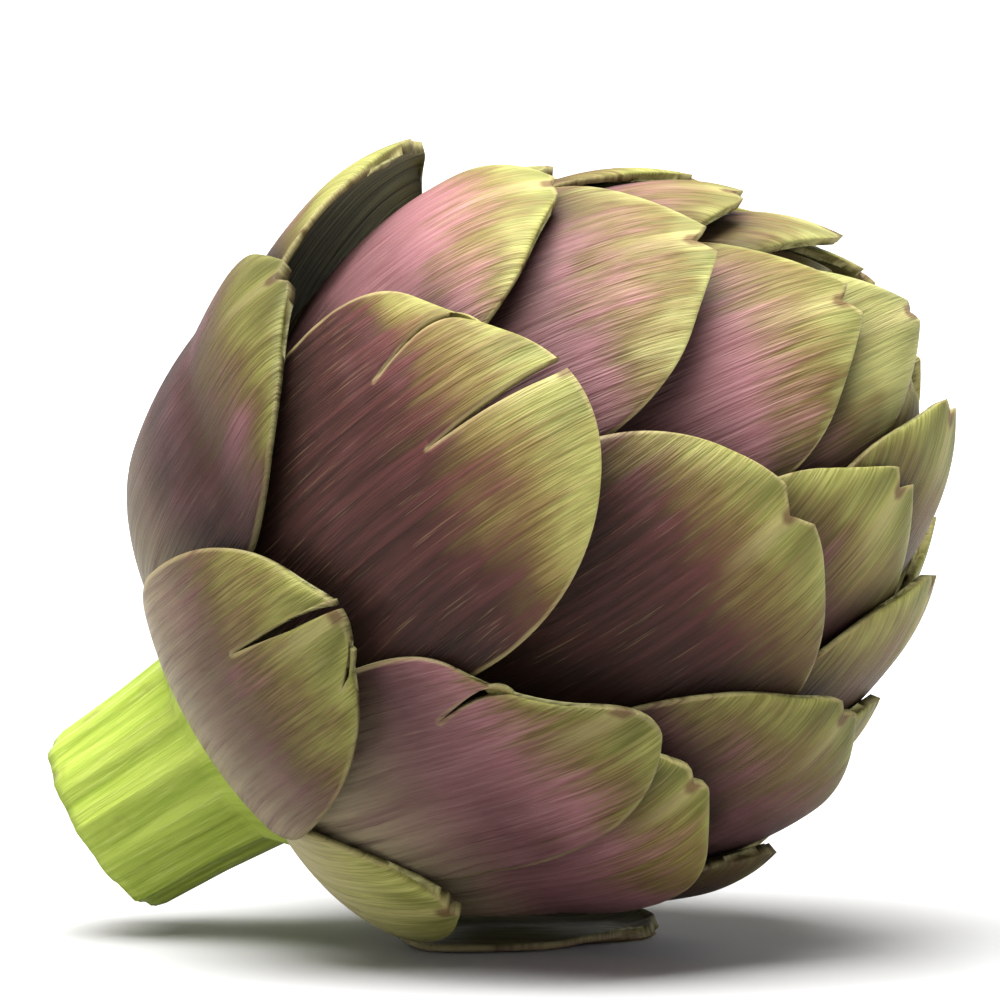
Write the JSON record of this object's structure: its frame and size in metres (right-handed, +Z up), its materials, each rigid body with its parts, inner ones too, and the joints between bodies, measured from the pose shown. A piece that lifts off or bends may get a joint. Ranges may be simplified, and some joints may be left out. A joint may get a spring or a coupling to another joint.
{
  "type": "globe artichoke",
  "caption": "Purple-green globe artichoke as picked, lying on its side: a round head of broad overlapping bracts, some split at the tip, on a short cut stalk.",
  "frame": {"origin": "on the surface that the head lies on, under the middle of the whole outline's box seen from above", "axes": "+Z up; +X the way the head points, its axis leaning 32 degrees up from the surface towards +X; +Y to the back, so that -Y is the side that the picture shows"},
  "size_m": [0.1084, 0.095, 0.094],
  "materials": {
    "bract": "satin skin of a bract: wine purple below, olive green towards the tip, fine lengthwise streaks and a thin straw-coloured margin",
    "bud": "satin: yellow-green inner bracts with purple-brown tips",
    "stalk": "satin: fresh yellow-green rind with fine lengthwise ribs, paler cut face"
  },
  "bodies": {
    "root": {"bract_stalk_side": "bract", "bract_under_stalk": "bract", "bract_far_under_stalk": "bract", "bract_belly": "bract", "bract_far_stalk_side": "bract", "bract_left_side": "bract", "bract_far_belly": "bract", "bract_top_flared": "bract", "bract_low_split": "bract", "bract_far_low_split": "bract", "bract_low_narrow": "bract", "bract_low_back": "bract", "bract_far_top": "bract", "bract_far_low_back": "bract", "bract_middle_split": "bract", "bract_far_middle": "bract", "bract_upper_left": "bract", "bract_right_low": "bract", "bract_far_upper": "bract", "bract_far_upper_left": "bract", "bract_upper_back": "bract", "bract_right_low_back": "bract", "bract_far_middle_right": "bract", "bract_middle_right": "bract", "bract_far_upper_middle": "bract", "bract_upper_middle": "bract", "bract_far_back": "bract", "bract_right_back": "bract", "bract_far_crest": "bract", "bract_upper_crest": "bract", "bract_far_crown": "bract", "bract_right_middle": "bract", "bract_crown_front": "bract", "bract_far_crown_front": "bract", "bract_crown_right": "bract", "bract_crown_top": "bract", "bract_far_crown_inner": "bract", "bract_crown_inner": "bract", "bud": "bud", "stalk": "stalk"}
  },
  "joints": []
}
